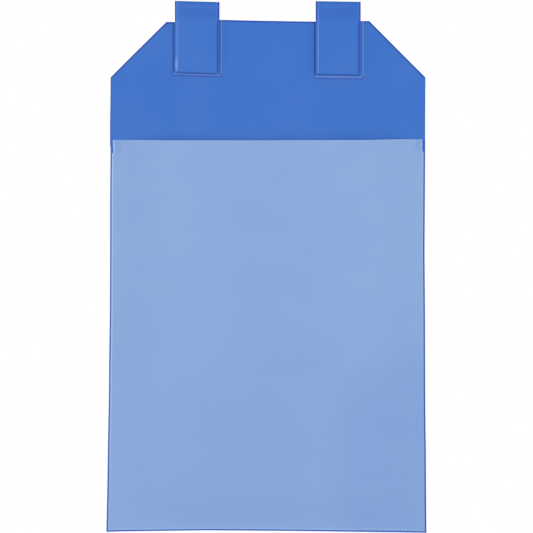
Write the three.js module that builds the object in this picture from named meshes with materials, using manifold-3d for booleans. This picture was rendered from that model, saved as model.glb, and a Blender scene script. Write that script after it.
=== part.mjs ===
// Hanging document pocket: a blue back sheet with cut corners, a pale front film welded on three
// sides, and two film tabs that fold over a rail or a wire and close with magnet plates.
// Millimetres, +Z up, +X to the right, the front faces -Y.
// The origin is the hanging line: the inside of the tabs' folds, midway between the two tabs.

import * as THREE from "three";
import { mergeVertices } from "three/addons/utils/BufferGeometryUtils.js";
import Module from "manifold-3d";

const wasm = await Module();
wasm.setup();

// Back sheet
const SHEET_WIDTH = 247;
const SHEET_HEIGHT = 400;
const SHEET_THICKNESS = 0.5;
const CORNER_CUT = 44;
const HEADER_HEIGHT = 93;

// Front film
const FRONT_THICKNESS = 0.4;
const FRONT_INSET = 1.2;
const EDGE_WELD_WIDTH = 3.3;
const POCKET_DEPTH = 5;
const SIDE_RISE = 13;
const BOTTOM_RISE = 7;
const NOTCH_DEPTH = 1;
const NOTCH_HEIGHT = 9;
const NOTCH_SLANT = 2;

// Magnet plates, one pair for each tab
const MAGNET_WIDTH = 30;
const MAGNET_HEIGHT = 36;
const MAGNET_THICKNESS = 2;
const MAGNET_CORNER_RADIUS = 2;
const MAGNET_CLEARANCE = 0.3;
const MAGNET_DROP = 3; // from the header's top edge down to the plates

// Tabs
const TAB_SPACING = 110.5;
const STRIP_THICKNESS = 0.5;
const LOOP_RISE = 15.1; // from the header's top edge up to the inside of the fold
const FLAP_GAP = 0.3; // between the header and the hem in front of it
const FLAP_BORDER = 1.95; // welded border beside the flap's magnet plate
const FLAP_EDGE_THICKNESS = 0.9;
const HEM_DROP = 2; // from the header's top edge down to the hem's open end
const HEM_END = 1.7; // from the flap's magnet plate to the hem's fold
const POUCH_SIDE_SLOPE = 1.2;
const POUCH_END_SLOPE = 2;
const SEAM_WIDTH = 2.7;
const SEAM_DEPTH = 0.15; // of the imprint that the welded seam leaves in the header

// Fineness of the curved surfaces
const ARC_SEGMENTS = 12;
const RISE_STEPS = 6;
const FLAT_STEPS = 3;
const OVERLAP = 1; // how far joined solids of one piece reach into each other

// Heights
const headerTop = -LOOP_RISE;
const sheetBottom = headerTop - SHEET_HEIGHT;
const mouth = headerTop - HEADER_HEIGHT;
const magnetTop = headerTop - MAGNET_DROP;
const magnetBottom = magnetTop - MAGNET_HEIGHT;
const cavityBottom = magnetBottom - MAGNET_CLEARANCE;
const hemTop = headerTop - HEM_DROP;
const flapBottom = cavityBottom - HEM_END;

// Depths, from the back of the tabs to their front
const loopDepth = MAGNET_THICKNESS + SHEET_THICKNESS + FLAP_GAP + STRIP_THICKNESS + MAGNET_THICKNESS;
const foldInside = loopDepth / 2;
const foldOutside = foldInside + STRIP_THICKNESS;
const sheetBack = foldInside - MAGNET_THICKNESS;
const sheetFront = sheetBack - SHEET_THICKNESS;
const flapInside = -foldInside;
const flapBack = sheetFront - FLAP_GAP;

// Half widths
const cavityHalf = MAGNET_WIDTH / 2 + MAGNET_CLEARANCE;
const stripHalf = cavityHalf + FLAP_BORDER;
const seamInnerHalf = cavityHalf + POUCH_SIDE_SLOPE;
const seamOuterHalf = seamInnerHalf + SEAM_WIDTH;
const seamInnerBottom = cavityBottom - POUCH_END_SLOPE;
const seamOuterBottom = seamInnerBottom - SEAM_WIDTH;

// Solids

function solid(geometry) {
  const bare = geometry.index ? geometry.toNonIndexed() : geometry.clone();
  bare.deleteAttribute("normal");
  bare.deleteAttribute("uv");
  const merged = mergeVertices(bare, 1e-4);
  return new wasm.Manifold(
    new wasm.Mesh({
      numProp: 3,
      vertProperties: merged.attributes.position.array,
      triVerts: new Uint32Array(merged.index.array),
    }),
  );
}

function surface(made) {
  const { vertProperties, triVerts } = made.getMesh();
  const geometry = new THREE.BufferGeometry();
  geometry.setAttribute("position", new THREE.BufferAttribute(vertProperties, 3));
  geometry.setIndex(new THREE.BufferAttribute(triVerts, 1));
  geometry.computeVertexNormals();
  return geometry;
}

function outline(points) {
  return new THREE.Shape(points.map(([u, v]) => new THREE.Vector2(u, v)));
}

function extruded(shape, depth) {
  return new THREE.ExtrudeGeometry(shape, { depth, bevelEnabled: false, curveSegments: ARC_SEGMENTS });
}

// An outline in X and Z, extruded from the plane at `back` towards the front.
function facing(shape, back, depth) {
  const turn = new THREE.Matrix4().makeRotationX(Math.PI / 2);
  return extruded(shape, depth).applyMatrix4(turn).translate(0, back, 0);
}

// An outline in Y and Z, extruded across X.
function across(shape, halfWidth) {
  const turn = new THREE.Matrix4().makeBasis(
    new THREE.Vector3(0, 1, 0),
    new THREE.Vector3(0, 0, 1),
    new THREE.Vector3(1, 0, 0),
  );
  return extruded(shape, 2 * halfWidth).applyMatrix4(turn).translate(-halfWidth, 0, 0);
}

// An outline in X and Y, extruded up Z.
function upright(shape, bottom, top) {
  return extruded(shape, top - bottom).translate(0, 0, bottom);
}

function roundedPlate(halfWidth, bottom, top, radius) {
  const shape = new THREE.Shape();
  shape.absarc(halfWidth - radius, bottom + radius, radius, -Math.PI / 2, 0, false);
  shape.absarc(halfWidth - radius, top - radius, radius, 0, Math.PI / 2, false);
  shape.absarc(-halfWidth + radius, top - radius, radius, Math.PI / 2, Math.PI, false);
  shape.absarc(-halfWidth + radius, bottom + radius, radius, Math.PI, 1.5 * Math.PI, false);
  return shape;
}

// Back sheet, with the imprint of each tab's seam pressed into its front

function seamImprint(x) {
  const band = outline([
    [x - seamOuterHalf, headerTop + OVERLAP],
    [x - seamOuterHalf, seamOuterBottom],
    [x + seamOuterHalf, seamOuterBottom],
    [x + seamOuterHalf, headerTop + OVERLAP],
    [x + seamInnerHalf, headerTop + OVERLAP],
    [x + seamInnerHalf, seamInnerBottom],
    [x - seamInnerHalf, seamInnerBottom],
    [x - seamInnerHalf, headerTop + OVERLAP],
  ]);
  return solid(facing(band, sheetFront + SEAM_DEPTH, SEAM_DEPTH + OVERLAP));
}

function backPanel() {
  const half = SHEET_WIDTH / 2;
  const sheet = outline([
    [-half, sheetBottom],
    [half, sheetBottom],
    [half, headerTop - CORNER_CUT],
    [half - CORNER_CUT, headerTop],
    [-half + CORNER_CUT, headerTop],
    [-half, headerTop - CORNER_CUT],
  ]);
  return solid(facing(sheet, sheetBack, SHEET_THICKNESS))
    .subtract(seamImprint(-TAB_SPACING / 2))
    .subtract(seamImprint(TAB_SPACING / 2));
}

// Front film: flat in its welded borders, standing off the back sheet between them

function smooth(share) {
  const t = Math.min(1, Math.max(0, share));
  return t * t * (3 - 2 * t);
}

function steps(from, to, count) {
  return Array.from({ length: count }, (_, i) => from + ((to - from) * (i + 1)) / count);
}

function frontPanel() {
  const edge = SHEET_WIDTH / 2 - FRONT_INSET;
  const bottom = sheetBottom + FRONT_INSET;
  const weldX = edge - EDGE_WELD_WIDTH;
  const weldZ = bottom + EDGE_WELD_WIDTH;
  const flatX = weldX - SIDE_RISE;
  const flatZ = weldZ + BOTTOM_RISE;
  const notch = mouth - NOTCH_HEIGHT;

  const right = [...steps(0, flatX, FLAT_STEPS), ...steps(flatX, weldX, RISE_STEPS), edge];
  const columns = [...right.map((x) => -x).reverse(), 0, ...right];
  const rows = [
    bottom,
    weldZ,
    ...steps(weldZ, flatZ, RISE_STEPS),
    ...steps(flatZ, notch - NOTCH_SLANT, FLAT_STEPS),
    notch,
    mouth,
  ];

  const positions = [];
  for (const thickness of [FRONT_THICKNESS, 0]) {
    for (const z of rows) {
      const rowEdge = z >= notch ? edge - NOTCH_DEPTH : edge;
      for (const column of columns) {
        const x = Math.sign(column) * Math.min(Math.abs(column), rowEdge);
        const rise = smooth((weldX - Math.abs(x)) / SIDE_RISE) * smooth((z - weldZ) / BOTTOM_RISE);
        positions.push(x, sheetFront - POCKET_DEPTH * rise - thickness, z);
      }
    }
  }

  const width = columns.length;
  const height = rows.length;
  const back = width * height;
  const at = (row, column) => row * width + column;
  const faces = [];
  const quad = (a, b, c, d) => faces.push(a, b, c, a, c, d);
  for (let r = 0; r < height - 1; r += 1) {
    for (let c = 0; c < width - 1; c += 1) {
      const corners = [at(r, c), at(r, c + 1), at(r + 1, c + 1), at(r + 1, c)];
      quad(...corners);
      quad(...corners.map((i) => i + back).reverse());
    }
    quad(at(r, 0), at(r + 1, 0), at(r + 1, 0) + back, at(r, 0) + back);
    quad(at(r + 1, width - 1), at(r, width - 1), at(r, width - 1) + back, at(r + 1, width - 1) + back);
  }
  for (let c = 0; c < width - 1; c += 1) {
    quad(at(0, c + 1), at(0, c), at(0, c) + back, at(0, c + 1) + back);
    quad(at(height - 1, c), at(height - 1, c + 1), at(height - 1, c + 1) + back, at(height - 1, c) + back);
  }

  const film = new THREE.BufferGeometry();
  film.setAttribute("position", new THREE.Float32BufferAttribute(positions, 3));
  film.setIndex(faces);
  return solid(film);
}

// Tab: the strip over the fold, the pouch welded behind the header, and the hemmed flap in front

function foldedStrip() {
  const profile = new THREE.Shape();
  profile.moveTo(foldOutside, headerTop - OVERLAP);
  profile.lineTo(foldOutside, -foldInside);
  profile.absarc(0, -foldInside, foldOutside, 0, Math.PI, false);
  profile.lineTo(-foldOutside, hemTop - OVERLAP);
  profile.lineTo(-foldInside, hemTop - OVERLAP);
  profile.absarc(0, -foldInside, foldInside, Math.PI, 0, true);
  profile.lineTo(foldInside, headerTop - OVERLAP);
  return solid(across(profile, stripHalf));
}

// A block behind the header, from its base plane to its back plane, whose sides and lower end slope.
function pouchBlock(basePlane, backPlane, growth, top) {
  const sideSlope = POUCH_SIDE_SLOPE / MAGNET_THICKNESS;
  const endSlope = POUCH_END_SLOPE / MAGNET_THICKNESS;
  const halfAt = (y) => seamInnerHalf + growth * Math.hypot(sideSlope, 1) - sideSlope * (y - sheetBack);
  const lowAt = (y) => seamInnerBottom - growth * Math.hypot(endSlope, 1) + endSlope * (y - sheetBack);
  const plan = outline([
    [-halfAt(basePlane), basePlane],
    [halfAt(basePlane), basePlane],
    [halfAt(backPlane), backPlane],
    [-halfAt(backPlane), backPlane],
  ]);
  const side = outline([
    [basePlane, top],
    [basePlane, lowAt(basePlane)],
    [backPlane, lowAt(backPlane)],
    [backPlane, top],
  ]);
  const block = solid(upright(plan, lowAt(basePlane), top));
  return block.intersect(solid(across(side, halfAt(basePlane))));
}

function rearPouch() {
  const flange = outline([
    [-seamOuterHalf, seamOuterBottom],
    [seamOuterHalf, seamOuterBottom],
    [seamOuterHalf, headerTop],
    [-seamOuterHalf, headerTop],
  ]);
  const weldedFilm = solid(facing(flange, sheetBack + STRIP_THICKNESS, STRIP_THICKNESS));
  const raised = pouchBlock(sheetBack, foldOutside, STRIP_THICKNESS, headerTop);
  const hollow = pouchBlock(sheetFront, foldInside, 0, headerTop + OVERLAP);
  return { film: weldedFilm.add(raised), hollow };
}

function flapHem() {
  const middle = (-foldOutside + flapBack) / 2;
  const radius = (flapBack + foldOutside) / 2;
  const side = new THREE.Shape();
  side.moveTo(-foldOutside, hemTop);
  side.lineTo(-foldOutside, flapBottom + radius);
  side.absarc(middle, flapBottom + radius, radius, Math.PI, 2 * Math.PI, false);
  side.lineTo(flapBack, hemTop);
  const borderBack = -foldOutside + FLAP_EDGE_THICKNESS;
  const plan = outline([
    [-stripHalf, -foldOutside],
    [stripHalf, -foldOutside],
    [stripHalf, borderBack],
    [cavityHalf + STRIP_THICKNESS, flapBack],
    [-cavityHalf - STRIP_THICKNESS, flapBack],
    [-stripHalf, borderBack],
  ]);
  const cavity = outline([
    [-cavityHalf, cavityBottom],
    [cavityHalf, cavityBottom],
    [cavityHalf, hemTop + OVERLAP],
    [-cavityHalf, hemTop + OVERLAP],
  ]);
  const film = solid(across(side, stripHalf)).intersect(solid(upright(plan, flapBottom, hemTop)));
  const hollow = solid(facing(cavity, flapInside + MAGNET_THICKNESS, MAGNET_THICKNESS));
  return { film, hollow };
}

function tab() {
  const rear = rearPouch();
  const hem = flapHem();
  return foldedStrip().add(rear.film).add(hem.film).subtract(rear.hollow).subtract(hem.hollow);
}

function magnetPlate(back) {
  const plate = roundedPlate(MAGNET_WIDTH / 2, magnetBottom, magnetTop, MAGNET_CORNER_RADIUS);
  return solid(facing(plate, back, MAGNET_THICKNESS));
}

// Materials

const blueFilm = new THREE.MeshStandardMaterial({ color: 0x4676ca, roughness: 0.45, metalness: 0 });
const paleFilm = new THREE.MeshStandardMaterial({
  color: 0xc4d6f0,
  roughness: 0.6,
  metalness: 0,
  transparent: true,
  opacity: 0.6,
});
const magnetRubber = new THREE.MeshStandardMaterial({ color: 0x2b2725, roughness: 0.8, metalness: 0 });

function piece(name, made, material) {
  const mesh = new THREE.Mesh(surface(made), material);
  mesh.name = name;
  return mesh;
}

// Assembly

const documentPocket = new THREE.Group();
documentPocket.add(piece("back_panel", backPanel(), blueFilm));
documentPocket.add(piece("front_panel", frontPanel(), paleFilm));

for (const [side, x] of [["left", -TAB_SPACING / 2], ["right", TAB_SPACING / 2]]) {
  const closure = new THREE.Group();
  closure.position.x = x;
  closure.add(piece(`${side}_tab`, tab(), blueFilm));
  closure.add(piece(`${side}_header_magnet`, magnetPlate(foldInside), magnetRubber));
  closure.add(piece(`${side}_flap_magnet`, magnetPlate(flapInside + MAGNET_THICKNESS), magnetRubber));
  documentPocket.add(closure);
}

export default documentPocket;
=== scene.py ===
"""Looks of a hanging magnetic document pocket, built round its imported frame.

The back sheet, the front film and the two folded tabs are modelled here as thin closed films over
the solids of the frame. The magnet plates keep the frame's own solids and get a finish.
Lengths are millimetres until a mesh is made, and metres after that.
"""

import logging
import math
from dataclasses import dataclass
from enum import Enum, IntEnum
from typing import Mapping, Sequence, Union

import bmesh
import bpy
import numpy as np
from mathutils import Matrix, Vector


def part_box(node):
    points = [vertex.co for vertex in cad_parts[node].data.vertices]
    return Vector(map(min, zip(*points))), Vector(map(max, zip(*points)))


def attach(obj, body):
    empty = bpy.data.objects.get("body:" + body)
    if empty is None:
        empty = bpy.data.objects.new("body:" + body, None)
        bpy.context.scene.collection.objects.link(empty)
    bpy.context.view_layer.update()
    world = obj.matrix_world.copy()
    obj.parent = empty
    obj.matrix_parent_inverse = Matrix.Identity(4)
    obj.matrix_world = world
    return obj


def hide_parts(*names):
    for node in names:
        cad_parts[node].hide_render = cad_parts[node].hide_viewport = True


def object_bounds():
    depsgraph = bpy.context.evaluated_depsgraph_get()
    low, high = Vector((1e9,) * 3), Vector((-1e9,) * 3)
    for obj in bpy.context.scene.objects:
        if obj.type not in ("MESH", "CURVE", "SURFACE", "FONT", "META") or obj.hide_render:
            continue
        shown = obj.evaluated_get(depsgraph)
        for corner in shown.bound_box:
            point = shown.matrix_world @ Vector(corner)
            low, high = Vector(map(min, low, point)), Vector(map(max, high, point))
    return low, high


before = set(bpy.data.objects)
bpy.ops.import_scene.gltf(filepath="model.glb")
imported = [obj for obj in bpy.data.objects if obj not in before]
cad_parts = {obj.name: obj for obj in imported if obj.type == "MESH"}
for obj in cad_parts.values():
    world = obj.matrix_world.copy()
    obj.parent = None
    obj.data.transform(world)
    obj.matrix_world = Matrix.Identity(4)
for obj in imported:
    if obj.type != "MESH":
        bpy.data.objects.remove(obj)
CAD_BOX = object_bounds()

Colour = tuple[float, float, float]
Grid = np.ndarray
Number = Union[float, Grid]
Limits = tuple[float, float]
Run = tuple[tuple[float, float], ...]
Term = Union["Value", float]

MM = 0.001
TAU = 2 * math.pi
BODY = "root"
MERGE_DISTANCE = 1e-7
SHARP_ANGLE = math.radians(50)
SHORTEST_NORMAL = 1e-9
RIDGE_SPREAD = 0.6
CLOSE_LINES = 9
LINE_GAP = 0.08

log = logging.getLogger("document_pocket")


class Side(Enum):
    """Which tab of the pocket, seen from the front."""

    LEFT = "left"
    RIGHT = "right"


class Leg(IntEnum):
    """Which stretch of a tab's film a row of its grid lies on."""

    REAR = 0
    FRONT = 1
    HEM = 2


class Slot(Enum):
    """The record's material slots."""

    SHEET = "blue_sheet"
    FILM = "pale_film"
    STRIP = "blue_strip"
    MAGNET = "magnet_rubber"


class Mark(Enum):
    """What the finishes read from the meshes. Lengths are millimetres, the rest are shares."""

    RIM = "rim"
    ALONG = "along"
    ACROSS = "across"
    DROP = "drop"
    FRONT = "front"
    GLINT = "glint"
    SEAM_INSET = "seam_inset"
    SEAM_ACROSS = "seam_across"
    SEAM_RISE = "seam_rise"
    EDGE_DARK = "edge_dark"
    EDGE_PRESSED = "edge_pressed"
    EDGE_LIT = "edge_lit"
    SHADE = "shade"
    RIBS = "ribs"
    PLEATS = "pleats"


def add_object(name: str, data: bpy.types.ID) -> bpy.types.Object:
    """Makes an object of some data and links it to the scene."""
    made = bpy.data.objects.new(name, data)
    bpy.context.scene.collection.objects.link(made)
    return made


# Shapes of numbers and grids


def smooth(share: Number) -> Number:
    """Eases a share from 0 to 1, and holds it at 0 below and at 1 above."""
    t = np.clip(share, 0.0, 1.0)
    return t * t * (3 - 2 * t)


def eased(value: Number, run: Limits) -> Number:
    """Eases from 0 to 1 over a run, which says where it leaves 0 and over how much it rises."""
    return smooth((value - run[0]) / run[1])


def ridge(distance: Number, middle: float, width: float) -> Number:
    """Gives a soft bump that is 1 at the middle and has all but gone a width away."""
    return np.exp(-(((distance - middle) / (RIDGE_SPREAD * width)) ** 2))


def grid_lines(
    low: float, high: float, pitch: float, marks: Sequence[float], reach: float = 1.2
) -> Grid:
    """Places grid lines evenly, and closer together round each mark.

    Args:
        low: The first line.
        high: The last line.
        pitch: The even spacing, as an upper limit.
        marks: Where the surface has a fine feature.
        reach: How far the close lines go on each side of a mark.

    Returns:
        The lines in rising order.
    """
    steps = max(1, math.ceil((high - low) / pitch))
    lines = list(np.linspace(low, high, steps + 1))
    close = np.linspace(-reach, reach, CLOSE_LINES)
    lines += [m + c for m in marks for c in close if low < m + c < high]
    lines.sort()
    kept = [low]
    for line in lines:
        if line - kept[-1] > LINE_GAP and high - line > LINE_GAP:
            kept.append(line)
    return np.array([*kept, high])


# Films


@dataclass
class Film:
    """A closed thin film: a middle surface on a grid, with its thickness on both sides.

    Attributes:
        name: The piece's name.
        middle: Rows by columns by 3, in millimetres; the front lies along columns cross rows.
        front: Distance from the middle surface to the front.
        back: Distance from the middle surface to the back.
        marks: Grids that the finish reads, such as the distance from the cut edge.
        curved: True if the thickness follows the surface's own direction, not -Y.
    """

    name: str
    middle: Grid
    front: Number
    back: Number
    marks: Mapping[Mark, Grid]
    curved: bool = False

    def normals(self) -> Grid:
        """Gives the front's direction at each grid point.

        Returns:
            Rows by columns by 3, of length 1.
        """
        if not self.curved:
            return np.broadcast_to(np.array([0.0, -1.0, 0.0]), self.middle.shape)
        across = np.gradient(self.middle, axis=1)
        upward = np.gradient(self.middle, axis=0)
        out = np.cross(across, upward)
        return out / np.maximum(np.linalg.norm(out, axis=2, keepdims=True), SHORTEST_NORMAL)

    def faces(self, rows: int, columns: int) -> list[tuple[int, ...]]:
        """Joins the front, the back and the edges of the grid.

        Args:
            rows: Number of rows.
            columns: Number of columns.

        Returns:
            Faces whose corners run anticlockwise seen from outside.
        """
        index = np.arange(rows * columns).reshape(rows, columns)
        behind = index + rows * columns
        front = np.stack([index[:-1, :-1], index[:-1, 1:], index[1:, 1:], index[1:, :-1]], axis=-1)
        back = front[..., ::-1] + rows * columns
        flat = np.concatenate([front.reshape(-1, 4), back.reshape(-1, 4)])
        made = [tuple(map(int, corners)) for corners in flat]
        rims = [
            (index[0, ::-1], behind[0, ::-1]),
            (index[-1, :], behind[-1, :]),
            (index[:, 0], behind[:, 0]),
            (index[::-1, -1], behind[::-1, -1]),
        ]
        for near, far in rims:
            for i in range(len(near) - 1):
                made.append((int(near[i]), int(near[i + 1]), int(far[i + 1]), int(far[i])))
        return made

    def build(self) -> bpy.types.Object:
        """Makes the film's mesh object.

        Returns:
            The object, in metres, linked to the scene.
        """
        rows, columns = self.middle.shape[:2]
        out = self.normals()
        sides = []
        for sign, distance in ((1, self.front), (-1, self.back)):
            step = sign * np.broadcast_to(distance, (rows, columns))[..., None]
            sides.append((self.middle + out * step).reshape(-1, 3))
        corners = np.concatenate(sides) * MM
        mesh = bpy.data.meshes.new(self.name)
        mesh.from_pydata([tuple(c) for c in corners], [], self.faces(rows, columns))
        for mark, values in self.marks.items():
            layer = mesh.attributes.new(mark.value, "FLOAT", "POINT")
            flat = np.broadcast_to(values, (rows, columns)).reshape(-1)
            layer.data.foreach_set("value", np.concatenate([flat, flat]).astype(np.float32))
        merge_corners(mesh)
        return add_object(self.name, mesh)


def merge_corners(mesh: bpy.types.Mesh) -> None:
    """Merges grid points that fall together, turns the faces outward and shades them smooth.

    Args:
        mesh: The mesh to finish.
    """
    work = bmesh.new()
    work.from_mesh(mesh)
    bmesh.ops.remove_doubles(work, verts=work.verts, dist=MERGE_DISTANCE)
    bmesh.ops.dissolve_degenerate(work, edges=work.edges, dist=MERGE_DISTANCE)
    bmesh.ops.recalc_face_normals(work, faces=work.faces)
    work.to_mesh(mesh)
    work.free()
    mesh.shade_smooth()
    mesh.set_sharp_from_angle(angle=SHARP_ANGLE)


# Shader maths


class Value:
    """A shader socket. Arithmetic on it adds Math nodes."""

    def __init__(self, graph: "ShaderGraph", socket: bpy.types.NodeSocket) -> None:
        """Wraps an output socket of the graph."""
        self.graph = graph
        self.socket = socket

    def _math(self, operation: str, *terms: Term) -> "Value":
        """Adds a Math node with its inputs in order, and gives its result."""
        return self.graph.add("ShaderNodeMath", {"operation": operation}, dict(enumerate(terms)))

    def __add__(self, other: Term) -> "Value":
        """Adds a value or a number."""
        return self._math("ADD", self, other)

    __radd__ = __add__

    def __sub__(self, other: Term) -> "Value":
        """Takes away a value or a number."""
        return self._math("SUBTRACT", self, other)

    def __rsub__(self, other: Term) -> "Value":
        """Takes this value from a number."""
        return self._math("SUBTRACT", other, self)

    def __mul__(self, other: Term) -> "Value":
        """Multiplies by a value or a number."""
        return self._math("MULTIPLY", self, other)

    __rmul__ = __mul__

    def __abs__(self) -> "Value":
        """Drops the value's sign."""
        return self._math("ABSOLUTE", self)

    def wave(self, pitch: float) -> "Value":
        """Gives an even wave along a length, from 0 to 1, of a pitch from crest to crest."""
        turns = self * (TAU / pitch)
        return turns._math("SINE", turns) * 0.5 + 0.5

    def rising(self, low: float, high: float) -> "Value":
        """Eases from 0 at low to 1 at high."""
        sockets = {"Value": self, "From Min": low, "From Max": high}
        return self.graph.add("ShaderNodeMapRange", {"interpolation_type": "SMOOTHSTEP"}, sockets)

    def falling(self, low: float, high: float) -> "Value":
        """Eases from 1 at low to 0 at high."""
        return 1 - self.rising(low, high)

    def line(self, middle: float, half: float) -> "Value":
        """Eases up to 1 at the middle of a line, and down to 0 half its width away."""
        return abs(self - middle).falling(0.0, half)


class ShaderGraph:
    """The nodes of one material, round one Principled shader."""

    def __init__(self, name: str) -> None:
        """Starts a material with a Principled shader.

        Args:
            name: The material's name.
        """
        self.material = bpy.data.materials.new(name)
        self.material.use_nodes = True
        self.tree = self.material.node_tree
        self.tree.nodes.clear()
        self.shader = self.tree.nodes.new("ShaderNodeBsdfPrincipled")
        output = self.tree.nodes.new("ShaderNodeOutputMaterial")
        self.tree.links.new(self.shader.outputs["BSDF"], output.inputs["Surface"])

    def _socket(
        self, sockets: bpy.types.bpy_prop_collection, key: Union[str, int]
    ) -> bpy.types.NodeSocket:
        """Finds a socket by place, identifier or name.

        Args:
            sockets: A node's inputs or outputs.
            key: The place, identifier or name.

        Returns:
            The socket.
        """
        if isinstance(key, int):
            return sockets[key]
        found = [s for s in sockets if s.identifier == key]
        return found[0] if found else sockets[key]

    def feed(self, socket: bpy.types.NodeSocket, value: object) -> None:
        """Links a value to a socket, or sets a plain number, colour or vector on it.

        Args:
            socket: The input socket.
            value: A Value, or what the socket holds.
        """
        if isinstance(value, Value):
            self.tree.links.new(value.socket, socket)
        elif socket.type == "RGBA":
            socket.default_value = (*value, 1.0)
        else:
            socket.default_value = value

    def add(
        self,
        kind: str,
        settings: Mapping[str, object],
        sockets: Mapping[Union[str, int], object],
        result: Union[str, int] = 0,
    ) -> Value:
        """Adds a node of any type.

        Args:
            kind: The node's type.
            settings: Its properties, set before its sockets.
            sockets: Values or links by input.
            result: The output to return.

        Returns:
            The chosen output.
        """
        node = self.tree.nodes.new(kind)
        for key, value in settings.items():
            setattr(node, key, value)
        for key, value in sockets.items():
            self.feed(self._socket(node.inputs, key), value)
        return Value(self, self._socket(node.outputs, result))

    def mark(self, mark: Mark) -> Value:
        """Reads one of the mesh's marks."""
        return self.add("ShaderNodeAttribute", {"attribute_name": mark.value}, {}, "Fac")

    def noise(self, size: float, detail: float = 2.0, stretch: Colour = (1.0, 1.0, 1.0)) -> Value:
        """Adds a soft cloud pattern in the piece's own space.

        Args:
            size: Width of a cloud in millimetres.
            detail: Number of finer octaves.
            stretch: How much closer together the clouds lie along each axis.

        Returns:
            The pattern, from 0 to 1.
        """
        place = self.add("ShaderNodeTexCoord", {}, {}, "Object")
        scaled = self.add("ShaderNodeVectorMath", {"operation": "MULTIPLY"}, {0: place, 1: stretch})
        sockets = {"Vector": scaled, "Scale": 1 / (size * MM), "Detail": detail}
        return self.add("ShaderNodeTexNoise", {}, sockets, "Fac")

    def mix(self, share: Term, first: Union[Value, Colour], second: Union[Value, Colour]) -> Value:
        """Mixes two colours by the share of the second."""
        sockets = {"Factor_Float": share, "A_Color": first, "B_Color": second}
        return self.add("ShaderNodeMix", {"data_type": "RGBA"}, sockets, "Result_Color")

    def relief(self, height: Value) -> Value:
        """Turns a height above the surface, in millimetres, into a bent normal."""
        sockets = {"Height": height * MM, "Distance": 1.0, "Strength": 1.0}
        return self.add("ShaderNodeBump", {}, sockets, "Normal")

    def dress(self, **sockets: object) -> bpy.types.Material:
        """Sets the Principled shader's sockets.

        Args:
            sockets: Values or links, named with underscores for spaces.

        Returns:
            The finished material.
        """
        for key, value in sockets.items():
            self.feed(self.shader.inputs[key.replace("_", " ")], value)
        return self.material


# Finishes


@dataclass(frozen=True)
class FilmFinish:
    """What the finishes of all films share: a fine grain, slow ripples and an uneven gloss.

    Lengths are millimetres. A line's pair is its place and half width, and any other pair holds
    the two ends of a blend.
    """

    name: str
    cloud_size: float = 45.0
    grain_size: float = 0.9
    grain_height: float = 0.004
    ripple_size: float = 38.0
    ripple_height: float = 0.10
    roughness: float = 0.42
    gloss_spread: float = 0.1
    specular: float = 0.12
    fine_detail: float = 3.0
    slow_detail: float = 1.0

    def grain(self, graph: ShaderGraph) -> Value:
        """Gives the height of the grain and the ripples, in millimetres."""
        grain = graph.noise(self.grain_size, self.fine_detail) * self.grain_height
        return grain + graph.noise(self.ripple_size, self.slow_detail) * self.ripple_height

    def gloss(self, graph: ShaderGraph) -> Value:
        """Gives a roughness that varies a little from cloud to cloud."""
        spread = graph.noise(self.cloud_size, self.fine_detail) * self.gloss_spread
        return spread + (self.roughness - self.gloss_spread / 2)


@dataclass(frozen=True)
class BlueFilm(FilmFinish):
    """Satin blue film: clouds of tone, dark cut edges, pressed welds, painted shade and highlights."""

    tone: Colour = (0.0330, 0.1325, 0.470)
    cloud_tone: Colour = (0.0270, 0.1270, 0.466)
    dark_tone: Colour = (0.003, 0.040, 0.330)
    highlight_tone: Colour = (0.165, 0.275, 0.600)
    pressed_and_sheen_tone: Colour = (0.080, 0.148, 0.490)
    cloud_limits: Limits = (0.3, 0.7)

    def lines(self, graph: ShaderGraph) -> tuple[Value, Value, Value, Value]:
        """Gives the strengths of the dark, pale and pressed tones, and the relief."""
        raise NotImplementedError

    def material(self) -> bpy.types.Material:
        """Makes the material.

        Returns:
            The finished material.
        """
        graph = ShaderGraph(self.name)
        clouds = graph.noise(self.cloud_size).rising(*self.cloud_limits)
        colour = graph.mix(clouds, self.tone, self.cloud_tone)
        dark, pale, pressed, welded = self.lines(graph)
        # Pressed tone: the seams' bands and the sheet's lower left edge, and a painted sheen line
        # inside the strips' left edges.
        colour = graph.mix(pressed, colour, self.pressed_and_sheen_tone)
        # Dark tone: the cut edges' outline, and painted shade on the seams' walls, along the flaps'
        # right edges and over the fold.
        colour = graph.mix(dark, colour, self.dark_tone)
        # Highlight tone: painted highlights on the strips' welded lines, the flap's glint and beside
        # the right seams, and painted light on the seam bands in the flaps' shade.
        colour = graph.mix(pale, colour, self.highlight_tone)
        return graph.dress(
            Base_Color=colour,
            Roughness=self.gloss(graph),
            Normal=graph.relief(self.grain(graph) + welded),
            Specular_IOR_Level=self.specular,
        )


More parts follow.
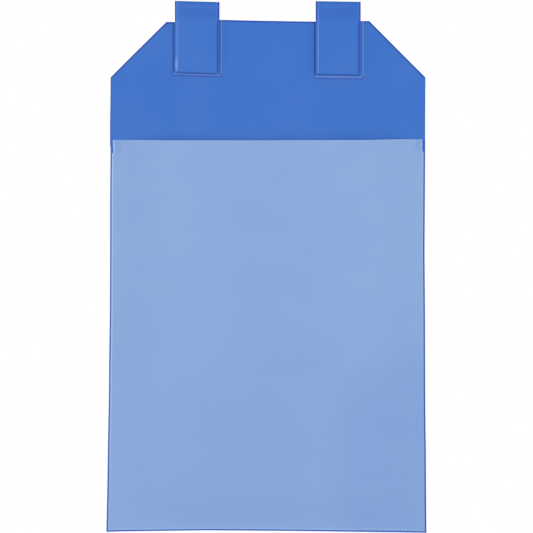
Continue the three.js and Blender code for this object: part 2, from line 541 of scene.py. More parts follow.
@dataclass(frozen=True)
class SheetFilm(BlueFilm):
    """The back sheet's blue film, with the tabs' seams pressed into it."""

    edge: Limits = (0.8775, 1.35)
    foot: Limits = (2.7, 3.2)
    band_start: Limits = (0.3, 0.8)
    band_end: Limits = (2.3, 2.8)
    left_wall_shade: Limits = (0.45, 0.55)
    right_wall_shade: Limits = (0.9, 0.55)
    right_dark: float = 0.35
    right_wall_highlight: Limits = (0.05, 0.5)
    side_fill_light: float = 0.15
    foot_fill_light: float = 0.3
    side_press: float = 0.08
    foot_press: float = 0.45
    rib_press: float = 0.5
    rib_pitch: float = 2.3
    rib_height: float = 0.03
    patch_size: float = 7.0
    patch_limits: Limits = (0.35, 0.6)

    def lines(self, graph: ShaderGraph) -> tuple[Value, Value, Value, Value]:
        """Draws the cut edge, the seams' bands with painted light, and painted shade and highlights at
        the imprints' walls.

        Args:
            graph: The material's graph.

        Returns:
            The strengths of the dark, pale and pressed tones, and the relief in millimetres.
        """
        inset = graph.mark(Mark.SEAM_INSET)
        right = graph.mark(Mark.SEAM_ACROSS).rising(0.0, 1.0)
        foot = graph.mark(Mark.SEAM_RISE).falling(*self.foot)
        side_right = right * (1 - foot)
        ribs = graph.mark(Mark.ALONG).wave(self.rib_pitch)
        patches = graph.noise(self.patch_size, self.slow_detail).rising(*self.patch_limits)

        edge = graph.mark(Mark.RIM).falling(*self.edge)
        band = inset.rising(*self.band_start) * inset.falling(*self.band_end)
        # Painted shade: dark lines on the imprints' walls that face away from the light.
        left_wall_shade = inset.line(*self.left_wall_shade) * (1 - side_right)
        right_wall_shade = inset.line(*self.right_wall_shade) * side_right
        # Painted highlight just inside the right seams' outer edges, and painted light on the bands
        # beside and below the flaps, where their shade falls.
        wall_highlight = inset.line(*self.right_wall_highlight) * side_right
        lift = band * (side_right * self.side_fill_light + foot * self.foot_fill_light)

        dark = edge * graph.mark(Mark.EDGE_DARK) + left_wall_shade + right_wall_shade * self.right_dark
        press = foot * (patches * ribs * self.rib_press + self.foot_press) + self.side_press
        pressed = edge * graph.mark(Mark.EDGE_PRESSED) + band * press
        return dark, wall_highlight + lift, pressed, band * foot * ribs * self.rib_height


@dataclass(frozen=True)
class StripFilm(BlueFilm):
    """The tabs' blue film, with a welded line along each edge."""

    edge: Limits = (0.69, 1.15)
    edge_below: float = 0.2
    line_place: Limits = (1.8, 0.6)
    line_height: float = -0.02
    left_highlight: float = 0.4
    low_highlight: float = 0.25
    right_top_highlight: float = 0.15
    sheen_place: Limits = (1.15, 0.6)
    sheen_share: float = 0.5
    right_shade_place: Limits = (1.3, 1.15)
    right_shade_strength: float = 0.8
    fold_shade_drop: Limits = (-6.0, 7.5)
    fold_shade_strength: float = 0.2
    middle: Limits = (-0.5, 0.5)
    header: Limits = (-1.0, 1.0)

    def lines(self, graph: ShaderGraph) -> tuple[Value, Value, Value, Value]:
        """Draws the cut edge and the welded line inside it, with painted highlights, sheen and shade.

        Args:
            graph: The material's graph.

        Returns:
            The strengths of the dark, pale and pressed tones, and the relief in millimetres.
        """
        rim = graph.mark(Mark.RIM)
        drop = graph.mark(Mark.DROP)
        right = graph.mark(Mark.ACROSS).rising(*self.middle)
        left = 1 - right
        below = drop.rising(*self.header)
        above = 1 - below
        # Painted shade on the strip's part above the header, where it curves back into the fold.
        fold_shade = drop.line(*self.fold_shade_drop)
        front = graph.mark(Mark.FRONT)
        glint = graph.mark(Mark.GLINT)

        edge = rim.falling(*self.edge)
        # Painted shade along the flap's right edge, below the header.
        right_edge_shade = rim.line(*self.right_shade_place) * right * below
        line = rim.line(*self.line_place)
        # Painted sheen: a purple-grey line inside the left edge.
        left_sheen = rim.line(*self.sheen_place) * left

        dark = edge * (above + below * self.edge_below)
        dark = dark + right_edge_shade * self.right_shade_strength + fold_shade * self.fold_shade_strength
        # Painted highlights: the welded line, strongest on the left and below the header, faint on the
        # right above it, plus the painted glint.
        left_share = left * (below * self.low_highlight + self.left_highlight)
        pale = line * (left_share + right * above * self.right_top_highlight) + glint
        return dark * front, pale * front, left_sheen * front * self.sheen_share, line * self.line_height


@dataclass(frozen=True)
class PaleFilm(FilmFinish):
    """Matte pale film, slightly see-through, with a ribbed weld along its borders and painted shade and
    highlights.
    """

    name: str = "pale_film"
    cloud_size: float = 60.0
    grain_size: float = 0.7
    grain_height: float = 0.005
    ripple_size: float = 55.0
    ripple_height: float = 0.25
    roughness: float = 0.55
    specular: float = 0.26
    opacity: float = 0.78
    tone: Colour = (0.257, 0.402, 0.686)
    deep_tone: Colour = (0.202, 0.342, 0.655)
    cloud_tone: Colour = (0.222, 0.366, 0.670)
    edge_tone: Colour = (0.430, 0.590, 0.830)
    rib_shade_tone: Colour = (0.160, 0.300, 0.610)
    cloud_stretch: Colour = (0.7, 1.0, 1.5)
    cloud_limits: Limits = (0.45, 0.6)
    cloud_share: float = 0.15
    deep_cloud_share: float = 0.6
    rib_pitch: float = 2.7
    rib_height: float = 0.04
    rib_place: Limits = (1.4, 1.1)
    rib_lit: float = 0.5
    pleat_pitch: float = 1.9
    pleat_share: float = 0.8
    edge_place: Limits = (0.5, 0.9)

    def material(self) -> bpy.types.Material:
        """Makes the material.

        Returns:
            The finished material.
        """
        graph = ShaderGraph(self.name)
        rim = graph.mark(Mark.RIM)
        shade = graph.mark(Mark.SHADE)
        # Painted shade: the deep tone, darker towards the lower right and down the middle.
        colour = graph.mix(shade, self.tone, self.deep_tone)
        clouds = graph.noise(self.cloud_size, self.fine_detail, self.cloud_stretch)
        clouds = clouds.rising(*self.cloud_limits)
        clouds = clouds * (shade * self.deep_cloud_share + self.cloud_share)
        colour = graph.mix(clouds, colour, self.cloud_tone)

        ribs = graph.mark(Mark.ALONG).wave(self.rib_pitch)
        row = rim.line(*self.rib_place) * graph.mark(Mark.RIBS)
        pleats = rim.wave(self.pleat_pitch) * graph.mark(Mark.PLEATS)
        # Painted shade: the darker rib cells of the weld and the pleats' stripes.
        colour = graph.mix(row * ribs + pleats * self.pleat_share, colour, self.rib_shade_tone)
        lit = rim.line(*self.edge_place) * graph.mark(Mark.EDGE_LIT)
        # Painted highlights: along the cut edges and on the ribs' lit cells.
        colour = graph.mix(lit + row * (1 - ribs) * self.rib_lit, colour, self.edge_tone)
        return graph.dress(
            Base_Color=colour,
            Roughness=self.gloss(graph),
            Alpha=self.opacity,
            Normal=graph.relief(self.grain(graph) + (row * ribs + pleats) * self.rib_height),
            Specular_IOR_Level=self.specular,
        )


@dataclass(frozen=True)
class MagnetRubber:
    """Dull dark rubber-bonded magnet plate with a fine grain."""

    name: str = "magnet_rubber"
    tone: Colour = (0.024, 0.021, 0.020)
    worn_tone: Colour = (0.055, 0.048, 0.044)
    cloud_size: float = 6.0
    grain_size: float = 0.35
    cloud_detail: float = 4.0
    cloud_limits: Limits = (0.35, 0.75)
    grain_height: float = 0.02
    roughness: float = 0.64
    rough_spread: float = 0.15

    def material(self) -> bpy.types.Material:
        """Makes the material.

        Returns:
            The finished material.
        """
        graph = ShaderGraph(self.name)
        clouds = graph.noise(self.cloud_size, self.cloud_detail).rising(*self.cloud_limits)
        grain = graph.noise(self.grain_size) * self.grain_height
        return graph.dress(
            Base_Color=graph.mix(clouds, self.tone, self.worn_tone),
            Roughness=clouds * self.rough_spread + self.roughness,
            Normal=graph.relief(grain),
        )


@dataclass(frozen=True)
class StudioFloor:
    """Plain pale floor with a barely visible mottle."""

    name: str = "studio_floor"
    tone: Colour = (0.80, 0.80, 0.80)
    cloud_tone: Colour = (0.77, 0.77, 0.775)
    cloud_size: float = 300.0
    roughness: float = 0.8

    def material(self) -> bpy.types.Material:
        """Makes the material.

        Returns:
            The finished material.
        """
        graph = ShaderGraph(self.name)
        colour = graph.mix(graph.noise(self.cloud_size), self.tone, self.cloud_tone)
        return graph.dress(Base_Color=colour, Roughness=self.roughness)


# Sub-assemblies


def place(
    film: Film, node: str, slot: Slot, material: bpy.types.Material
) -> bpy.types.Object:
    """Builds a film in its node's place and gives it its finish.

    Args:
        film: The film.
        node: The frame's node that it stands for.
        slot: The record's material slot; not used.
        material: The finish.

    Returns:
        The new piece.
    """
    piece = film.build()
    piece.data.materials.append(material)
    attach(piece, BODY)
    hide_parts(node)
    log.info("%s: %d faces", piece.name, len(piece.data.polygons))
    return piece


def corners_mm(node: str) -> tuple[Vector, Vector]:
    """Gives the lowest and the highest corner of the frame's node, in millimetres."""
    low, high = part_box(node)
    return low / MM, high / MM


@dataclass(frozen=True)
class SheetEdges:
    """How the edges of the two welded sheets stray from straight, as seen from the front.

    Each side pairs heights with outward shifts, and each cross edge pairs places across with its
    rise, which dies away inside the sheet over the blend's depth.
    """

    left: Run = (
        (-415.0, 3.05), (-375.0, 2.2), (-343.0, 1.8), (-312.0, 1.15), (-281.0, 0.9), (-243.0, 0.35),
        (-202.0, 0.17), (-155.0, 0.15), (-120.0, -0.15), (-113.5, -0.17), (-112.0, 0.25), (-97.0, 0.22),
        (-77.0, -0.1), (-62.0, -0.23),
    )
    right: Run = (
        (-415.0, 1.0), (-383.0, 0.7), (-352.0, 0.6), (-336.0, 0.3), (-305.0, 0.05), (-243.0, -0.1),
        (-196.0, -0.45), (-155.0, -0.2), (-118.0, 0.0), (-80.0, 0.12), (-60.0, 0.25),
    )
    top: Run = ((-83.0, -0.3), (-74.0, -0.5), (-38.0, 1.2), (-5.0, 0.45), (33.0, -0.17), (74.0, 0.28))
    bottom: Run = (
        (-124.0, -0.5), (-112.0, -0.15), (-47.0, 0.7), (19.0, 0.2), (57.0, -0.3), (99.0, -0.85),
        (124.0, -1.3),
    )
    mouth: Run = (
        (-120.0, 0.05), (-104.0, -0.15), (-84.0, -0.5), (-14.0, -0.6), (25.0, -0.4), (80.0, -0.3),
        (96.0, 0.2), (116.0, 0.6),
    )
    blend: float = 30.0

    def across(self, x: Grid, z: Grid, half: float) -> Grid:
        """Stretches places across so that the sides, half a width off, follow the edges."""
        left, right = (np.interp(z, *zip(*run)) for run in (self.left, self.right))
        return x * (1 + np.where(x < 0, left, right) / half)

    def rise(self, x: Grid, z: Grid, edge: float, run: Run) -> Grid:
        """Gives how far an edge's run lifts the sheet at each place near that edge."""
        return np.interp(x, *zip(*run)) * smooth(1 - np.abs(z - edge) / self.blend)


@dataclass(frozen=True)
class EdgeTones:
    """Strengths of the tones along the back sheet's cut edge. A pair is a run as in eased."""

    left_step: float = 4.0
    side_fade: float = 0.75
    right_fade: float = 0.15
    foot_dark: float = 0.25
    side_dark: float = 0.5
    left_dark: float = 0.6
    left_drop: Limits = (320.0, 60.0)
    left_pressed: float = 0.75
    foot_fade: float = 0.5


@dataclass
class BackSheet:
    """The blue back sheet with its cut corners and the imprints of the tabs' seams.

    Attributes:
        edges: How the edges run.
        corner_cut: Leg of each cut corner.
        pitch: Even spacing of the grid.
        seam_width: Width of a tab's seam.
        seam_depth: Depth of its imprint.
        seam_edge: Width of the imprint's soft shoulder.
        wave: Height of the slow waves.
        weld_width: Width of the front film's weld, which shows at the back.
        weld_depth: Depth of its imprint there.
        edge_strip: Width of the strip whose grid follows the cut edge.
        upright: How far beyond the seams the grid's columns stay upright.
        rim_calm: Width beside the cut edge over which the waves die away.
        seam_calm: The same beside the seams.
        mouth_calm: Height above the mouth over which they set in.
        tones: The tones of the cut edge.
    """

    edges: SheetEdges
    corner_cut: float = 44.0
    pitch: float = 5.0
    seam_width: float = 2.7
    seam_depth: float = 0.15
    seam_edge: float = 0.4
    wave: float = 0.2
    weld_width: float = 4.5
    weld_depth: float = 0.12
    edge_strip: float = 2.5
    upright: float = 1.0
    rim_calm: float = 12.0
    seam_calm: float = 10.0
    mouth_calm: float = 25.0
    tones: EdgeTones = EdgeTones()

    def rim(self, x: Grid, z: Grid, low: Vector, high: Vector) -> Grid:
        """Gives the distance from the nearest cut edge.

        Args:
            x: Places across.
            z: Heights.
            low: The sheet's lowest corner.
            high: The sheet's highest corner.

        Returns:
            The distance in millimetres.
        """
        cut = (high.x - np.abs(x) + high.z - z - self.corner_cut) / math.sqrt(2)
        sides = np.minimum(high.x - np.abs(x), cut)
        return np.minimum(sides, np.minimum(z - low.z, high.z - z))

    def follow_corners(self, x: Grid, z: Grid, high: Vector, seams_end: float) -> Grid:
        """Slides the grid's outer columns along the cut corners.

        Args:
            x: Places across.
            z: Heights.
            high: The sheet's highest corner.
            seams_end: Distance from the middle within which the columns stay upright.

        Returns:
            The new places across.
        """
        half = np.minimum(high.x, high.x + high.z - self.corner_cut - z)
        turn = high.x - self.edge_strip
        reach = np.abs(x)
        share = np.clip((reach - seams_end) / (turn - seams_end), 0, 1)
        slid = seams_end + share * (half - self.edge_strip - seams_end)
        outer = half - (high.x - reach)
        placed = np.where(reach > turn, outer, np.where(reach > seams_end, slid, reach))
        return np.sign(x) * placed

    def seam_marks(self, x: Grid, z: Grid) -> tuple[Grid, Grid, Grid]:
        """Measures each place from the nearer tab's seam.

        Args:
            x: Places across.
            z: Heights.

        Returns:
            Depth inside its outer edge, place across from its middle, and height above its foot.
        """
        insets, acrosses, rises = [], [], []
        for side in Side:
            tab = TABS[side]
            low, high = corners_mm(tab.node)
            across = x - (low.x + high.x) / 2 - tab.seam_shift
            rise = z - tab.skew * across - (low.z - tab.seam_drop)
            insets.append(np.minimum((high.x - low.x) / 2 - np.abs(across), rise))
            acrosses.append(across)
            rises.append(rise)
        nearer = x < 0
        return tuple(np.where(nearer, a, b) for a, b in (insets, acrosses, rises))

    def grid(self, low: Vector, high: Vector, mouth: float) -> tuple[Grid, Grid]:
        """Lays the grid, with close lines at the edges, the weld and the tabs' seams.

        Args:
            low: The sheet's lowest corner.
            high: The sheet's highest corner.
            mouth: Height of the mouth.

        Returns:
            Places across, and heights.
        """
        boxes = [corners_mm(TABS[side].node) for side in Side]
        seam = self.seam_width
        seams = [x for a, b in boxes for x in (a.x, b.x, a.x + seam, b.x - seam)]
        feet = [a.z - TABS[side].seam_drop for side, (a, _) in zip(Side, boxes)]
        levels = [low.z, low.z + self.weld_width, mouth, high.z - self.corner_cut, high.z]
        levels += [*feet, *[foot + seam for foot in feet]]
        inner = high.x - self.weld_width
        rows = grid_lines(low.z, high.z, self.pitch, levels)
        columns = grid_lines(low.x, high.x, self.pitch, [low.x, high.x, -inner, inner, *seams])
        x, z = np.meshgrid(columns, rows)
        return self.follow_corners(x, z, high, max(seams) + self.upright), z

    def edge_tones(
        self, x: Grid, z: Grid, low: Vector, high: Vector, mouth: float
    ) -> tuple[Grid, Grid]:
        """Gives how dark and how pressed the cut edge looks along its run.

        Args:
            x: Places across.
            z: Heights.
            low: The sheet's lowest corner.
            high: The sheet's highest corner.
            mouth: Height of the mouth.

        Returns:
            The strengths of the dark tone and of the pressed tone.
        """
        tones = self.tones
        left = (x < 0).astype(float)
        header = (z > mouth - tones.left_step * left).astype(float)
        beside = (z < high.z - self.corner_cut).astype(float)
        foot = (z - low.z < high.x - np.abs(x)).astype(float)
        left_dark = tones.left_dark * eased(-z, tones.left_drop)
        side_dark = tones.side_dark * np.where(x < 0, left_dark, 1.0)
        header_dark = 1 - beside * (tones.side_fade + tones.right_fade * (1 - left))
        # Along the header the dark tone is the cut edge's outline; below the mouth, beside the front
        # film, it is partly painted shade of the film's edge.
        dark = header * header_dark + (1 - header) * (tones.foot_dark + side_dark * (1 - foot))
        return dark, (1 - header) * left * (tones.left_pressed - tones.foot_fade * foot)

    def build(self, finish: SheetFilm) -> bpy.types.Object:
        """Makes the sheet.

        Args:
            finish: Its finish.

        Returns:
            The sheet's object.
        """
        low, high = corners_mm("back_panel")
        mouth = corners_mm("front_panel")[1].z
        x, z = self.grid(low, high, mouth)
        rim = self.rim(x, z, low, high)
        inset, across, rise = self.seam_marks(x, z)
        edge_dark, edge_pressed = self.edge_tones(x, z, low, high, mouth)
        pressed = smooth(inset / self.seam_edge)
        pressed = pressed * smooth((self.seam_width - inset) / self.seam_edge)
        welded = smooth((self.weld_width - rim) / self.seam_edge) * (z < mouth)

        wave = self.wave * self.waves(x, z) * smooth(rim / self.rim_calm)
        wave = wave * smooth(-inset / self.seam_calm) * smooth((z - mouth) / self.mouth_calm)
        lift = self.edges.rise(x, z, high.z, self.edges.top)
        lift = lift + self.edges.rise(x, z, low.z, self.edges.bottom)
        half = (high.y - low.y) / 2
        film = Film(
            "back_sheet",
            np.stack([self.edges.across(x, z, high.x), low.y + half + wave, z + lift], axis=-1),
            half - self.seam_depth * pressed,
            half - self.weld_depth * welded,
            {
                Mark.RIM: rim,
                Mark.SEAM_INSET: inset,
                Mark.SEAM_ACROSS: across,
                Mark.SEAM_RISE: rise,
                Mark.EDGE_DARK: edge_dark,
                Mark.EDGE_PRESSED: edge_pressed,
                Mark.ALONG: x,
            },
        )
        return place(film, "back_panel", Slot.SHEET, finish.material())

    def waves(self, x: Grid, z: Grid) -> Grid:
        """Gives the slow waves of a sheet that hangs from two tabs, from -1 to 1."""
        return 0.6 * np.sin(x / 31.0 + 0.4) * np.sin(z / 27.0) + 0.4 * np.sin((x + z) / 19.0 + 1.1)


@dataclass(frozen=True)
class FilmTones:
    """Strengths of the pale film's painted shade and of the painted highlights on its edges. A pair is
    a run as in eased.
    """

    shade: float = 0.1
    valley_shade: float = 0.2
    valley_half: float = 80.0
    lower_shade: float = 0.15
    lower_run: Limits = (0.3, 0.4)
    corner_shade: float = 0.5
    corner_across: Limits = (0.28, 0.35)
    corner_run: Limits = (0.67, 0.2)
    corner_slant: float = 0.25
    foot_lit: float = 0.3
    left_lit: float = 0.8
    right_lit: float = 0.2
    lit_fade: float = 0.6
    lit_run: Limits = (0.45, 0.5)


@dataclass
class FrontFilm:
    """The pale front film: welded flat on three sides, open and slightly bulged at the mouth.

    Attributes:
        edges: How the edges run.
        gap: Space between the weld and the sheet behind it.
        depth: How far the film stands off the sheet in the middle.
        side_rise: Width over which it rises beside the side welds.
        foot_rise: Height over which it rises above the bottom weld.
        weld_depth: Depth of the weld's pressed lines.
        notch: Inset of the corners at the mouth.
        notch_height: Height of the right inset.
        notch_step: How much lower the left inset ends.
        notch_slant: Height over which they run out.
        weld_lines: Place of each pressed line as a share of the weld's width, and its width.
        bead: Width of the bead along the cut edge.
        bead_place: Its distance from the edge.
        ribs_from: Place across from which the weld's ribs show at the foot.
        ribs_blend: Width over which they set in.
        ribs_least: Strength of the ribs before that.
        pleats_depth: Distance below the mouth within which its corners are pleated.
        pleats_width: Width of the pleats.
        pleats_blend: Width over which they set in and run out.
        tones: Where painted shade deepens the film and painted highlights pale it.
    """

    edges: SheetEdges
    thickness: float = 0.4
    gap: float = 0.02
    depth: float = 3.4
    side_rise: float = 34.0
    foot_rise: float = 26.0
    weld_width: float = 3.3
    weld_depth: float = 0.05
    notch: float = 1.1
    notch_height: float = 10.5
    notch_step: float = 1.1
    notch_slant: float = 2.0
    weld_lines: Run = ((0.6, 0.7), (1.0, 0.9))
    bead: float = 0.8
    bead_place: float = 0.4
    bead_height: float = 0.08
    pitch: float = 4.0
    ribs_from: float = 70.0
    ribs_blend: float = 12.0
    ribs_least: float = 0.15
    pleats_depth: float = 20.0
    pleats_width: float = 8.0
    pleats_blend: float = 2.0
    tones: FilmTones = FilmTones()

    def tone_marks(
        self, x: Grid, z: Grid, low: Vector, high: Vector, side_rim: Grid
    ) -> dict[Mark, Grid]:
        """Gives the marks of the film's painted shade, painted edge highlights, ribs and pleats.

        Args:
            x: Places across.
            z: Heights.
            low: The film's lowest corner.
            high: The film's highest corner.
            side_rim: Distance from the nearer side edge.

        Returns:
            The marks' strengths.
        """
        tones = self.tones
        at_foot = (z - low.z < side_rim).astype(float)
        drop = (high.z - z) / (high.z - low.z)
        across = x / high.x
        valley = tones.valley_shade * smooth(1 - np.abs(x) / tones.valley_half)
        lower = tones.lower_shade * eased(drop, tones.lower_run)
        corner = tones.corner_shade * eased(across, tones.corner_across)
        corner = corner * eased(drop + tones.corner_slant * across, tones.corner_run)
        foot_lit = tones.foot_lit * (x < self.ribs_from)
        side_lit = np.where(x > 0, tones.right_lit, tones.left_lit)
        side_lit = side_lit * (1 - tones.lit_fade * eased(drop, tones.lit_run))
        ribs = eased(x, (self.ribs_from, self.ribs_blend)) * (1 - self.ribs_least)
        pleats = smooth(side_rim / self.pleats_blend)
        pleats = pleats * smooth((self.pleats_width - side_rim) / self.pleats_blend)
        return {
            Mark.SHADE: np.clip(tones.shade + lower + valley + corner, 0, 1),
            Mark.EDGE_LIT: np.where(at_foot > 0, foot_lit, side_lit),
            Mark.RIBS: at_foot * (ribs + self.ribs_least),
            Mark.PLEATS: smooth(1 - (high.z - z) / self.pleats_depth) * pleats,
            Mark.ALONG: np.where(at_foot > 0, x, z),
        }

    def build(self, finish: PaleFilm) -> bpy.types.Object:
        """Makes the film.

        Args:
            finish: Its finish.

        Returns:
            The film's object.
        """
        low, high = corners_mm("front_panel")
        sheet_low, sheet_high = corners_mm("back_panel")
        feet = [high.z - self.notch_height - step for step in (0.0, self.notch_step)]
        bends = [foot + slant for foot in feet for slant in (0.0, self.notch_slant)]
        rows = grid_lines(low.z, high.z, self.pitch, [low.z, low.z + self.weld_width, *bends, high.z])
        inner = high.x - self.weld_width
        columns = grid_lines(low.x, high.x, self.pitch, [low.x, high.x, -inner, inner])
        x, z = np.meshgrid(columns, rows)
        inset = self.notch * smooth((z - np.where(x < 0, feet[1], feet[0])) / self.notch_slant)
        x = x * (1 - inset / high.x)

        side_rim = high.x - inset - np.abs(x)
        foot_rim = z - low.z
        rim = np.minimum(side_rim, foot_rim)
        rise = smooth((side_rim - self.weld_width) / self.side_rise)
        rise = rise * smooth((foot_rim - self.weld_width) / self.foot_rise)
        pressed = sum(ridge(rim, s * self.weld_width, width) for s, width in self.weld_lines)
        bead = self.bead_height * ridge(rim, self.bead_place, self.bead)
        y = sheet_low.y - self.gap - self.thickness / 2 - (self.depth + self.waves(x, z)) * rise

        place_z = z + self.edges.rise(x, z, high.z, self.edges.mouth)
        place_z = place_z + self.edges.rise(x, z, low.z, self.edges.bottom)
        film = Film(
            "front_film",
            np.stack([self.edges.across(x, z, sheet_high.x), y, place_z], axis=-1),
            self.thickness / 2 + bead - self.weld_depth * pressed,
            self.thickness / 2,
            {Mark.RIM: rim, **self.tone_marks(x, z, low, high, side_rim)},
        )
        return place(film, "front_panel", Slot.FILM, finish.material())

    def waves(self, x: Grid, z: Grid) -> Grid:
        """Gives the slow waves of the loose film, in millimetres."""
        across = 0.30 * np.sin(x / 34.0 + 0.9) * np.sin(z / 61.0 + 0.3)
        return across + 0.18 * np.sin(x / 21.0 - z / 47.0) + 0.12 * np.sin(z / 29.0 + x / 75.0)


@dataclass
class Tab:
    """One folded film tab, from the pouch behind the header over the fold to the hemmed flap.

    Attributes:
        skew: Slope of its cross cuts, as seen from the front.
        seam_shift: How far to the right of the tab's middle its seam lies.
        seam_drop: How much lower than the frame its seam ends.
        flap_drop: How much lower than the frame its flap ends.
        glint: Strength of the light caught at the flap's lower left edge.
        glint_across: Its distance from the edge, and its width.
        glint_height: The height of its middle.
        glint_reach: How far it goes up and down from there.
        seam_width: Width of the seam round the pouch.
        side_slope: Width over which the pouch rises beside its seam.
        end_slope: Height over which the pouch rises above its seam.
        shoulder: Height below the header's top edge over which the film widens to the seam.
        border: Width of the welded border beside the flap's magnet plate.
        clearance: Space beside the magnet plate.
        hem_end: From the flap's magnet plate to the hem's fold.
        hem_drop: From the header's top edge down to the hem's free end.
        hem_gap: Space between the header and the hem.
        pinch: Share of the hem's depth that its welded borders lose.
        edge_line: Distance of the welded line from the strip's edge.
        close_reach: How far the close grid lines go on each side of a mark.
        fold_steps: Grid steps round the fold.
    """

    side: Side
    skew: float = 0.0
    seam_shift: float = 0.0
    seam_drop: float = 0.0
    flap_drop: float = 0.0
    glint: float = 0.0
    glint_across: Limits = (1.0, 1.3)
    glint_height: float = -49.5
    glint_reach: float = 8.0
    thickness: float = 0.5
    seam_width: float = 2.7
    side_slope: float = 1.2
    end_slope: float = 0.9
    shoulder: float = 4.0
    border: float = 1.95
    clearance: float = 0.3
    hem_end: float = 2.0
    hem_drop: float = 2.0
    hem_gap: float = 0.3
    pinch: float = 0.75
    edge_line: float = 1.6
    line_width: float = 0.7
    line_depth: float = 0.12
    pitch: float = 1.5
    close_reach: float = 0.9
    fold_steps: int = 24

    @property
    def node(self) -> str:
        """The frame's node that this tab stands for."""
        return f"{self.side.value}_tab"

    @property
    def flap_magnet(self) -> str:
        """The frame's node of the magnet plate in the flap."""
        return f"{self.side.value}_flap_magnet"

    def spine(self, header: float, sheet_front: float) -> tuple[Grid, Grid, Grid]:
        """Follows the film's middle line from the rear seam to the hem's free end.

        Args:
            header: Height of the header's top edge.
            sheet_front: Depth of the sheet's front face.

        Returns:
            Depths, heights and legs. The fold counts as the front leg.
        """
        low, high = corners_mm(self.node)
        half = self.thickness / 2
        radius = (high.y - low.y) / 2 - half
        crown = high.z - half - radius
        hem_radius = (sheet_front - self.hem_gap - low.y) / 2 - half
        foot = corners_mm(self.flap_magnet)[0].z - self.hem_end - self.flap_drop + half + hem_radius
        seam_foot = low.z - self.seam_drop

        marks = [seam_foot, seam_foot + self.seam_width, header - self.shoulder, header]
        rear = grid_lines(seam_foot, crown, self.pitch, marks)
        fold = np.linspace(0, math.pi, self.fold_steps + 1)[1:-1]
        front = grid_lines(foot, crown, self.pitch, [foot])[::-1]
        turn = np.linspace(math.pi, TAU, self.fold_steps // 2 + 1)[1:-1]
        back = grid_lines(foot, header - self.hem_drop, self.pitch, [foot])
        middle = low.y + half + hem_radius
        depths = [
            np.full_like(rear, radius),
            radius * np.cos(fold),
            np.full_like(front, -radius),
            middle + hem_radius * np.cos(turn),
            np.full_like(back, middle + hem_radius),
        ]
        heights = [rear, crown + radius * np.sin(fold), front, foot + hem_radius * np.sin(turn), back]
        along = (Leg.REAR, Leg.FRONT, Leg.FRONT, Leg.HEM, Leg.HEM)
        legs = [np.full_like(part, leg) for part, leg in zip(heights, along)]
        return np.concatenate(depths), np.concatenate(heights), np.concatenate(legs)

    def build(self, finish: StripFilm) -> bpy.types.Object:
        """Makes the tab's film.

        Args:
            finish: Its finish.

        Returns:
            The tab's object.
        """
        low, high = corners_mm(self.node)
        sheet_low, sheet_high = corners_mm("back_panel")
        plate_high = corners_mm(self.flap_magnet)[1]
        header = sheet_high.z
        middle = (low.x + high.x) / 2
        cavity_half = plate_high.x - middle + self.clearance
        strip_half = cavity_half + self.border
        seam_half = (high.x - low.x) / 2
        depth, height, leg = self.spine(header, sheet_low.y)

        slope = [(cavity_half + out) * strip_half / seam_half for out in (0.0, self.side_slope)]
        places = [strip_half, strip_half - self.edge_line, cavity_half, *slope]
        both = [sign * place for place in places for sign in (-1, 1)]
        columns = grid_lines(-strip_half, strip_half, 2 * self.pitch, both, self.close_reach)
        share, y = np.meshgrid(columns, depth)
        z = np.repeat(height[:, None], len(columns), axis=1)
        legs = np.repeat(leg[:, None], len(columns), axis=1)
        rear = (legs == Leg.REAR).astype(float)
        front = (legs == Leg.FRONT).astype(float)

        wide = rear * (1 - smooth((z - header + self.shoulder) / self.shoulder))
        x = share * (1 + (seam_half / strip_half - 1) * wide)

        fall = sheet_high.y + self.thickness / 2 - depth[0]
        side_fall = smooth((np.abs(x) - cavity_half) / self.side_slope)
        side_fall = side_fall * (1 - smooth((z - header) / self.shoulder))
        end_fall = 1 - smooth((z - low.z + self.seam_drop - self.seam_width) / self.end_slope)
        y = y + rear * fall * np.maximum(side_fall, end_fall)

        pinch = smooth((np.abs(x) - cavity_half + self.clearance) / self.border)
        front_y = low.y + self.thickness / 2
        y = np.where(legs == Leg.HEM, front_y + (y - front_y) * (1 - self.pinch * pinch), y)

        rim = strip_half - np.abs(share)
        line = ridge(rim, self.edge_line, self.line_width) * (1 - rear * (z < header))
        glint = self.glint * ridge(rim, *self.glint_across) * (share < 0)
        glint = glint * smooth(1 - np.abs(z - self.glint_height) / self.glint_reach) * front
        marks = {
            Mark.RIM: rim,
            Mark.ACROSS: share,
            Mark.DROP: header - z,
            Mark.FRONT: front,
            Mark.GLINT: glint,
        }
        film = Film(
            f"{self.node}_film",
            np.stack([x + middle, y, z + self.skew * x], axis=-1)[:, ::-1],
            (self.thickness / 2 - self.line_depth * line)[:, ::-1],
            self.thickness / 2,
            {mark: values[:, ::-1] for mark, values in marks.items()},
            curved=True,
        )
        return place(film, self.node, Slot.STRIP, finish.material())


TABS = {
    Side.LEFT: Tab(
        Side.LEFT, skew=-0.027, seam_shift=-0.2, seam_drop=-0.9, flap_drop=0.1, border=2.05, glint=0.9
    ),
    Side.RIGHT: Tab(
        Side.RIGHT, skew=-0.014, seam_shift=0.35, seam_drop=1.2, flap_drop=1.4, border=2.2
    ),
}


@dataclass
class MagnetPlates:
    """The four magnet plates inside the tabs, which keep the frame's solids."""

    def dress(self, finish: MagnetRubber) -> list[bpy.types.Object]:
        """Gives each plate its finish.

        Args:
            finish: The plates' finish.

        Returns:
            The plates' objects.
        """
        material = finish.material()
        plates = []
        for side in Side:
            for where in ("header", "flap"):
                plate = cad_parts[f"{side.value}_{where}_magnet"]
                plate.data.materials.clear()
                plate.data.materials.append(material)
                plates.append(plate)
                log.info("%s: finish only", plate.name)
        return plates


# Studio


@dataclass(frozen=True)
class SoftLight:
    """A square light: where it stands and its side, in metres, and its power in watts."""

    name: str
    stand: tuple[float, float, float]
    size: float
    power: float


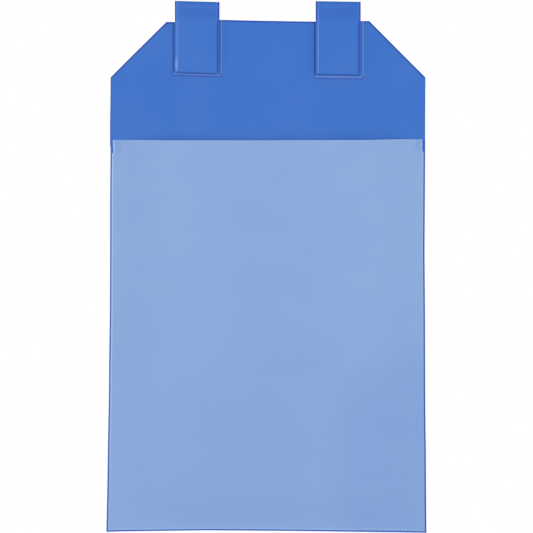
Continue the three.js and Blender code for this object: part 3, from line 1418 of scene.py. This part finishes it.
@dataclass
class Studio:
    """Floor, light and camera round the hanging pocket.

    Attributes:
        picture: Side of the square picture in pixels.
        scale: Millimetres for each pixel at the header's plane.
        middle_x: The picture's middle across, in millimetres.
        middle_z: The picture's middle height, in millimetres.
        distance: Distance of the camera, in metres.
        sensor: Width of the sensor, in millimetres.
        floor_drop: Height of the pocket above the floor, in metres.
        floor_radius: Radius of the round floor, in metres.
        surround: Strength of the light from all round.
    """

    picture: int = 533
    scale: float = 0.7845
    middle_x: float = -0.94
    middle_z: float = -207.4
    distance: float = 1.3
    sensor: float = 36.0
    floor_drop: float = 0.32
    floor_radius: float = 1.4
    floor_sides: int = 96
    surround: float = 0.70
    lights: tuple[SoftLight, ...] = (
        SoftLight("key", (-0.3, -2.2, 0.1), 1.1, 19.8),
        SoftLight("fill", (1.0, -1.9, -0.2), 1.3, 7.0),
        SoftLight("back_light", (0.8, 1.5, 0.6), 1.2, 14.0),
    )

    def camera(self) -> bpy.types.Object:
        """Makes the camera square on to the pocket.

        Returns:
            The camera.
        """
        data = bpy.data.cameras.new("camera")
        data.sensor_width = self.sensor
        data.lens = self.sensor * self.distance / (self.picture * self.scale * MM)
        camera = add_object("camera", data)
        camera.location = (self.middle_x * MM, -self.distance, self.middle_z * MM)
        camera.rotation_euler = (math.pi / 2, 0, 0)
        bpy.context.scene.camera = camera
        return camera

    def area(self, light: SoftLight) -> bpy.types.Object:
        """Makes a soft light that faces the pocket's middle.

        Args:
            light: Its place, size and power.

        Returns:
            The light.
        """
        data = bpy.data.lights.new(light.name, "AREA")
        data.size = light.size
        data.energy = light.power
        lamp = add_object(light.name, data)
        lamp.location = light.stand
        target = Vector((0, 0, self.middle_z * MM))
        lamp.rotation_euler = (target - Vector(light.stand)).to_track_quat("-Z", "Y").to_euler()
        return lamp

    def surroundings(self) -> None:
        """Lights the pocket softly from all round, with white behind it."""
        world = bpy.data.worlds.new("surroundings")
        world.use_nodes = True
        tree = world.node_tree
        tree.nodes.clear()
        kinds = ("LightPath", "Background", "Background", "MixShader", "OutputWorld")
        path, soft, white, mixed, output = (tree.nodes.new(f"ShaderNode{kind}") for kind in kinds)
        soft.inputs["Strength"].default_value = self.surround
        for background in (soft, white):
            background.inputs["Color"].default_value = (1.0, 1.0, 1.0, 1.0)
        tree.links.new(path.outputs["Is Camera Ray"], mixed.inputs["Fac"])
        tree.links.new(soft.outputs["Background"], mixed.inputs[1])
        tree.links.new(white.outputs["Background"], mixed.inputs[2])
        tree.links.new(mixed.outputs["Shader"], output.inputs["Surface"])
        bpy.context.scene.world = world
        bpy.context.scene.view_settings.view_transform = "Standard"

    def floor(self, finish: StudioFloor) -> bpy.types.Object:
        """Makes the round floor.

        Args:
            finish: Its finish.

        Returns:
            The floor.
        """
        work = bmesh.new()
        bmesh.ops.create_circle(
            work, cap_ends=True, segments=self.floor_sides, radius=self.floor_radius
        )
        mesh = bpy.data.meshes.new("floor")
        work.to_mesh(mesh)
        work.free()
        floor = add_object("floor", mesh)
        floor.location = (0, 0, CAD_BOX[0].z - self.floor_drop)
        floor.data.materials.append(finish.material())
        return floor

    def build(self) -> None:
        """Makes the camera, the lights and the floor."""
        self.camera()
        self.surroundings()
        for light in self.lights:
            self.area(light)
        self.floor(StudioFloor())
        log.info("studio: camera at %.2f m", self.distance)


def main() -> None:
    """Builds the studio and the pocket's pieces in order."""
    logging.basicConfig(level=logging.INFO, format="%(name)s: %(message)s")
    Studio().build()
    edges = SheetEdges()
    BackSheet(edges).build(SheetFilm("sheet_film"))
    FrontFilm(edges).build(PaleFilm())
    strip = StripFilm("strip_film")
    for side in Side:
        TABS[side].build(strip)
    MagnetPlates().dress(MagnetRubber())


if __name__ == "__main__":
    main()
